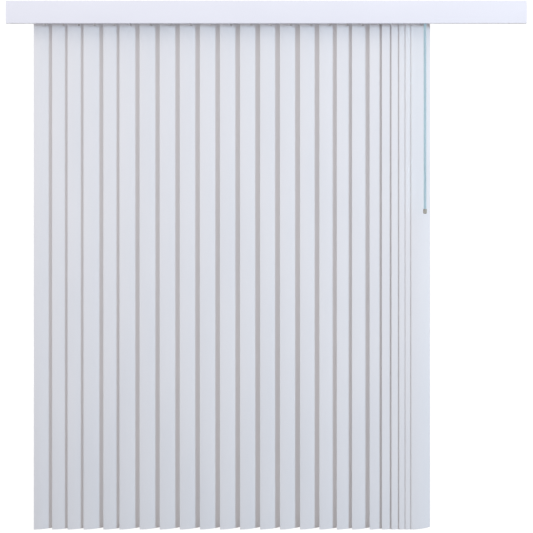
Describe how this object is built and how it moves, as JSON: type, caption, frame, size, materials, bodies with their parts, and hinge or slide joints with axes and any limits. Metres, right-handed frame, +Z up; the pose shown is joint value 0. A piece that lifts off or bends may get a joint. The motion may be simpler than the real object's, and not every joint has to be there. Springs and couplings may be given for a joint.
{
  "type": "vertical blind",
  "caption": "Wide vertical blind: curved vanes on sliding carriers that turn together under a slotted headrail, with a crowned valance and a clear wand that draws and tilts them.",
  "frame": {"origin": "midway between the two screw holes of the centre wall bracket, on the wall face", "axes": "+X right along the headrail as seen from the room, +Y into the wall, -Y to the room, +Z up"},
  "size_m": [2.076, 0.142, 2.134],
  "materials": {
    "vinyl_white": "satin embossed vinyl",
    "moulded_white": "moulded acetal",
    "painted_aluminium": "white stoved paint",
    "bare_aluminium": "mill finish",
    "zinc_steel": "bright zinc",
    "clear_plastic": "clear moulding",
    "clear_acrylic": "clear polished rod",
    "smoky_plastic": "translucent moulding"
  },
  "bodies": {
    "headrail": {"headrail": "painted_aluminium", "rail_end_caps": "moulded_white", "wall_brackets": "zinc_steel", "rail_clips": "zinc_steel", "clip_bolts": "zinc_steel", "valance_front": "vinyl_white", "valance_clips": "clear_plastic"},
    "tilt_rod": {"tilt_rod": "bare_aluminium"},
    "carrier_01": {"carrier_01": "moulded_white"},
    "vane_01": {"vane_01": "vinyl_white"},
    "carrier_02": {"carrier_02": "moulded_white"},
    "vane_02": {"vane_02": "vinyl_white"},
    "carrier_03": {"carrier_03": "moulded_white"},
    "vane_03": {"vane_03": "vinyl_white"},
    "carrier_04": {"carrier_04": "moulded_white"},
    "vane_04": {"vane_04": "vinyl_white"},
    "carrier_05": {"carrier_05": "moulded_white"},
    "vane_05": {"vane_05": "vinyl_white"},
    "carrier_06": {"carrier_06": "moulded_white"},
    "vane_06": {"vane_06": "vinyl_white"},
    "carrier_07": {"carrier_07": "moulded_white"},
    "vane_07": {"vane_07": "vinyl_white"},
    "carrier_08": {"carrier_08": "moulded_white"},
    "vane_08": {"vane_08": "vinyl_white"},
    "carrier_09": {"carrier_09": "moulded_white"},
    "vane_09": {"vane_09": "vinyl_white"},
    "carrier_10": {"carrier_10": "moulded_white"},
    "vane_10": {"vane_10": "vinyl_white"},
    "carrier_11": {"carrier_11": "moulded_white"},
    "vane_11": {"vane_11": "vinyl_white"},
    "carrier_12": {"carrier_12": "moulded_white"},
    "vane_12": {"vane_12": "vinyl_white"},
    "carrier_13": {"carrier_13": "moulded_white"},
    "vane_13": {"vane_13": "vinyl_white"},
    "carrier_14": {"carrier_14": "moulded_white"},
    "vane_14": {"vane_14": "vinyl_white"},
    "carrier_15": {"carrier_15": "moulded_white"},
    "vane_15": {"vane_15": "vinyl_white"},
    "carrier_16": {"carrier_16": "moulded_white"},
    "vane_16": {"vane_16": "vinyl_white"},
    "carrier_17": {"carrier_17": "moulded_white"},
    "vane_17": {"vane_17": "vinyl_white"},
    "carrier_18": {"carrier_18": "moulded_white"},
    "vane_18": {"vane_18": "vinyl_white"},
    "carrier_19": {"carrier_19": "moulded_white"},
    "vane_19": {"vane_19": "vinyl_white"},
    "carrier_20": {"carrier_20": "moulded_white"},
    "vane_20": {"vane_20": "vinyl_white"},
    "carrier_21": {"carrier_21": "moulded_white"},
    "vane_21": {"vane_21": "vinyl_white"},
    "carrier_22": {"carrier_22": "moulded_white"},
    "vane_22": {"vane_22": "vinyl_white"},
    "carrier_23": {"carrier_23": "moulded_white"},
    "vane_23": {"vane_23": "vinyl_white"},
    "carrier_24": {"carrier_24": "moulded_white"},
    "vane_24": {"vane_24": "vinyl_white"},
    "wand_stem": {"wand_stem": "clear_plastic"},
    "wand": {"wand": "clear_acrylic", "wand_tip": "smoky_plastic"}
  },
  "joints": [
    {"name": "carrier_01_slide", "type": "slide", "parent": "headrail", "child": "carrier_01", "axis": [1, 0, 0], "range_m": [-0.076, 0]},
    {"name": "carrier_02_slide", "type": "slide", "parent": "carrier_01", "child": "carrier_02", "axis": [1, 0, 0], "range_m": [-0.0565, 0.007]},
    {"name": "carrier_03_slide", "type": "slide", "parent": "carrier_02", "child": "carrier_03", "axis": [1, 0, 0], "range_m": [-0.0445, 0.019]},
    {"name": "carrier_04_slide", "type": "slide", "parent": "carrier_03", "child": "carrier_04", "axis": [1, 0, 0], "range_m": [-0.0465, 0.017]},
    {"name": "carrier_05_slide", "type": "slide", "parent": "carrier_04", "child": "carrier_05", "axis": [1, 0, 0], "range_m": [-0.0625, 0.001]},
    {"name": "carrier_06_slide", "type": "slide", "parent": "carrier_05", "child": "carrier_06", "axis": [1, 0, 0], "range_m": [-0.0475, 0.016]},
    {"name": "carrier_07_slide", "type": "slide", "parent": "carrier_06", "child": "carrier_07", "axis": [1, 0, 0], "range_m": [-0.0635, 0]},
    {"name": "carrier_08_slide", "type": "slide", "parent": "carrier_07", "child": "carrier_08", "axis": [1, 0, 0], "range_m": [-0.0635, 0]},
    {"name": "carrier_09_slide", "type": "slide", "parent": "carrier_08", "child": "carrier_09", "axis": [1, 0, 0], "range_m": [-0.0635, 0]},
    {"name": "carrier_10_slide", "type": "slide", "parent": "carrier_09", "child": "carrier_10", "axis": [1, 0, 0], "range_m": [-0.0635, 0]},
    {"name": "carrier_11_slide", "type": "slide", "parent": "carrier_10", "child": "carrier_11", "axis": [1, 0, 0], "range_m": [-0.0635, 0]},
    {"name": "carrier_12_slide", "type": "slide", "parent": "carrier_11", "child": "carrier_12", "axis": [1, 0, 0], "range_m": [-0.0635, 0]},
    {"name": "carrier_13_slide", "type": "slide", "parent": "carrier_12", "child": "carrier_13", "axis": [1, 0, 0], "range_m": [-0.0635, 0]},
    {"name": "carrier_14_slide", "type": "slide", "parent": "carrier_13", "child": "carrier_14", "axis": [1, 0, 0], "range_m": [-0.0625, 0.001]},
    {"name": "carrier_15_slide", "type": "slide", "parent": "carrier_14", "child": "carrier_15", "axis": [1, 0, 0], "range_m": [-0.0635, 0]},
    {"name": "carrier_16_slide", "type": "slide", "parent": "carrier_15", "child": "carrier_16", "axis": [1, 0, 0], "range_m": [-0.0605, 0.003]},
    {"name": "carrier_17_slide", "type": "slide", "parent": "carrier_16", "child": "carrier_17", "axis": [1, 0, 0], "range_m": [-0.0525, 0.011]},
    {"name": "carrier_18_slide", "type": "slide", "parent": "carrier_17", "child": "carrier_18", "axis": [1, 0, 0], "range_m": [-0.0435, 0.02]},
    {"name": "carrier_19_slide", "type": "slide", "parent": "carrier_18", "child": "carrier_19", "axis": [1, 0, 0], "range_m": [-0.0535, 0.01]},
    {"name": "carrier_20_slide", "type": "slide", "parent": "carrier_19", "child": "carrier_20", "axis": [1, 0, 0], "range_m": [-0.0315, 0.032]},
    {"name": "carrier_21_slide", "type": "slide", "parent": "carrier_20", "child": "carrier_21", "axis": [1, 0, 0], "range_m": [-0.0205, 0.043]},
    {"name": "carrier_22_slide", "type": "slide", "parent": "carrier_21", "child": "carrier_22", "axis": [1, 0, 0], "range_m": [-0.013, 0.0505]},
    {"name": "carrier_23_slide", "type": "slide", "parent": "carrier_22", "child": "carrier_23", "axis": [1, 0, 0], "range_m": [-0.007, 0.0565]},
    {"name": "carrier_24_slide", "type": "slide", "parent": "carrier_23", "child": "carrier_24", "axis": [1, 0, 0], "range_m": [-0.005, 0.0585]},
    {"name": "vane_01_tilt", "type": "hinge", "parent": "carrier_01", "child": "vane_01", "pos_m": [-0.905, -0.072, 0], "axis": [0, 0, 1], "range_deg": [0, 144]},
    {"name": "vane_02_tilt", "type": "hinge", "parent": "carrier_02", "child": "vane_02", "pos_m": [-0.83, -0.072, 0], "axis": [0, 0, 1], "range_deg": [0, 144]},
    {"name": "vane_03_tilt", "type": "hinge", "parent": "carrier_03", "child": "vane_03", "pos_m": [-0.767, -0.072, 0], "axis": [0, 0, 1], "range_deg": [0, 144]},
    {"name": "vane_04_tilt", "type": "hinge", "parent": "carrier_04", "child": "vane_04", "pos_m": [-0.702, -0.072, 0], "axis": [0, 0, 1], "range_deg": [0, 144]},
    {"name": "vane_05_tilt", "type": "hinge", "parent": "carrier_05", "child": "vane_05", "pos_m": [-0.621, -0.072, 0], "axis": [0, 0, 1], "range_deg": [0, 144]},
    {"name": "vane_06_tilt", "type": "hinge", "parent": "carrier_06", "child": "vane_06", "pos_m": [-0.555, -0.072, 0], "axis": [0, 0, 1], "range_deg": [0, 144]},
    {"name": "vane_07_tilt", "type": "hinge", "parent": "carrier_07", "child": "vane_07", "pos_m": [-0.473, -0.072, 0], "axis": [0, 0, 1], "range_deg": [0, 144]},
    {"name": "vane_08_tilt", "type": "hinge", "parent": "carrier_08", "child": "vane_08", "pos_m": [-0.391, -0.072, 0], "axis": [0, 0, 1], "range_deg": [0, 144]},
    {"name": "vane_09_tilt", "type": "hinge", "parent": "carrier_09", "child": "vane_09", "pos_m": [-0.309, -0.072, 0], "axis": [0, 0, 1], "range_deg": [0, 144]},
    {"name": "vane_10_tilt", "type": "hinge", "parent": "carrier_10", "child": "vane_10", "pos_m": [-0.227, -0.072, 0], "axis": [0, 0, 1], "range_deg": [0, 144]},
    {"name": "vane_11_tilt", "type": "hinge", "parent": "carrier_11", "child": "vane_11", "pos_m": [-0.145, -0.072, 0], "axis": [0, 0, 1], "range_deg": [0, 144]},
    {"name": "vane_12_tilt", "type": "hinge", "parent": "carrier_12", "child": "vane_12", "pos_m": [-0.063, -0.072, 0], "axis": [0, 0, 1], "range_deg": [0, 144]},
    {"name": "vane_13_tilt", "type": "hinge", "parent": "carrier_13", "child": "vane_13", "pos_m": [0.019, -0.072, 0], "axis": [0, 0, 1], "range_deg": [0, 144]},
    {"name": "vane_14_tilt", "type": "hinge", "parent": "carrier_14", "child": "vane_14", "pos_m": [0.1, -0.072, 0], "axis": [0, 0, 1], "range_deg": [0, 144]},
    {"name": "vane_15_tilt", "type": "hinge", "parent": "carrier_15", "child": "vane_15", "pos_m": [0.182, -0.072, 0], "axis": [0, 0, 1], "range_deg": [0, 144]},
    {"name": "vane_16_tilt", "type": "hinge", "parent": "carrier_16", "child": "vane_16", "pos_m": [0.261, -0.072, 0], "axis": [0, 0, 1], "range_deg": [0, 144]},
    {"name": "vane_17_tilt", "type": "hinge", "parent": "carrier_17", "child": "vane_17", "pos_m": [0.332, -0.072, 0], "axis": [0, 0, 1], "range_deg": [0, 144]},
    {"name": "vane_18_tilt", "type": "hinge", "parent": "carrier_18", "child": "vane_18", "pos_m": [0.394, -0.072, 0], "axis": [0, 0, 1], "range_deg": [0, 144]},
    {"name": "vane_19_tilt", "type": "hinge", "parent": "carrier_19", "child": "vane_19", "pos_m": [0.466, -0.072, 0], "axis": [0, 0, 1], "range_deg": [0, 144]},
    {"name": "vane_20_tilt", "type": "hinge", "parent": "carrier_20", "child": "vane_20", "pos_m": [0.516, -0.072, 0], "axis": [0, 0, 1], "range_deg": [0, 144]},
    {"name": "vane_21_tilt", "type": "hinge", "parent": "carrier_21", "child": "vane_21", "pos_m": [0.555, -0.072, 0], "axis": [0, 0, 1], "range_deg": [0, 144]},
    {"name": "vane_22_tilt", "type": "hinge", "parent": "carrier_22", "child": "vane_22", "pos_m": [0.5865, -0.072, 0], "axis": [0, 0, 1], "range_deg": [0, 144]},
    {"name": "vane_23_tilt", "type": "hinge", "parent": "carrier_23", "child": "vane_23", "pos_m": [0.612, -0.072, 0], "axis": [0, 0, 1], "range_deg": [0, 144]},
    {"name": "vane_24_tilt", "type": "hinge", "parent": "carrier_24", "child": "vane_24", "pos_m": [0.6355, -0.072, 0], "axis": [0, 0, 1], "range_deg": [0, 144]},
    {"name": "tilt_rod_turn", "type": "hinge", "parent": "headrail", "child": "tilt_rod", "pos_m": [0, -0.06225, 0.002], "axis": [1, 0, 0], "range_deg": [0, 1080]},
    {"name": "wand_twist", "type": "hinge", "parent": "carrier_24", "child": "wand_stem", "pos_m": [0.6367, -0.1257, 0], "axis": [0, 0, 1], "range_deg": [0, 1080]},
    {"name": "wand_swing", "type": "hinge", "parent": "wand_stem", "child": "wand", "pos_m": [0.6367, -0.1257, -0.05], "axis": [-1, 0, 0], "range_deg": [0, 16]}
  ],
  "couplings": [
    {"joint": "vane_01_tilt", "follows": "vane_24_tilt", "ratio": 1},
    {"joint": "vane_02_tilt", "follows": "vane_24_tilt", "ratio": 1},
    {"joint": "vane_03_tilt", "follows": "vane_24_tilt", "ratio": 1},
    {"joint": "vane_04_tilt", "follows": "vane_24_tilt", "ratio": 1},
    {"joint": "vane_05_tilt", "follows": "vane_24_tilt", "ratio": 1},
    {"joint": "vane_06_tilt", "follows": "vane_24_tilt", "ratio": 1},
    {"joint": "vane_07_tilt", "follows": "vane_24_tilt", "ratio": 1},
    {"joint": "vane_08_tilt", "follows": "vane_24_tilt", "ratio": 1},
    {"joint": "vane_09_tilt", "follows": "vane_24_tilt", "ratio": 1},
    {"joint": "vane_10_tilt", "follows": "vane_24_tilt", "ratio": 1},
    {"joint": "vane_11_tilt", "follows": "vane_24_tilt", "ratio": 1},
    {"joint": "vane_12_tilt", "follows": "vane_24_tilt", "ratio": 1},
    {"joint": "vane_13_tilt", "follows": "vane_24_tilt", "ratio": 1},
    {"joint": "vane_14_tilt", "follows": "vane_24_tilt", "ratio": 1},
    {"joint": "vane_15_tilt", "follows": "vane_24_tilt", "ratio": 1},
    {"joint": "vane_16_tilt", "follows": "vane_24_tilt", "ratio": 1},
    {"joint": "vane_17_tilt", "follows": "vane_24_tilt", "ratio": 1},
    {"joint": "vane_18_tilt", "follows": "vane_24_tilt", "ratio": 1},
    {"joint": "vane_19_tilt", "follows": "vane_24_tilt", "ratio": 1},
    {"joint": "vane_20_tilt", "follows": "vane_24_tilt", "ratio": 1},
    {"joint": "vane_21_tilt", "follows": "vane_24_tilt", "ratio": 1},
    {"joint": "vane_22_tilt", "follows": "vane_24_tilt", "ratio": 1},
    {"joint": "vane_23_tilt", "follows": "vane_24_tilt", "ratio": 1},
    {"joint": "tilt_rod_turn", "follows": "vane_24_tilt", "ratio": 7.5},
    {"joint": "wand_twist", "follows": "vane_24_tilt", "ratio": 7.5}
  ]
}
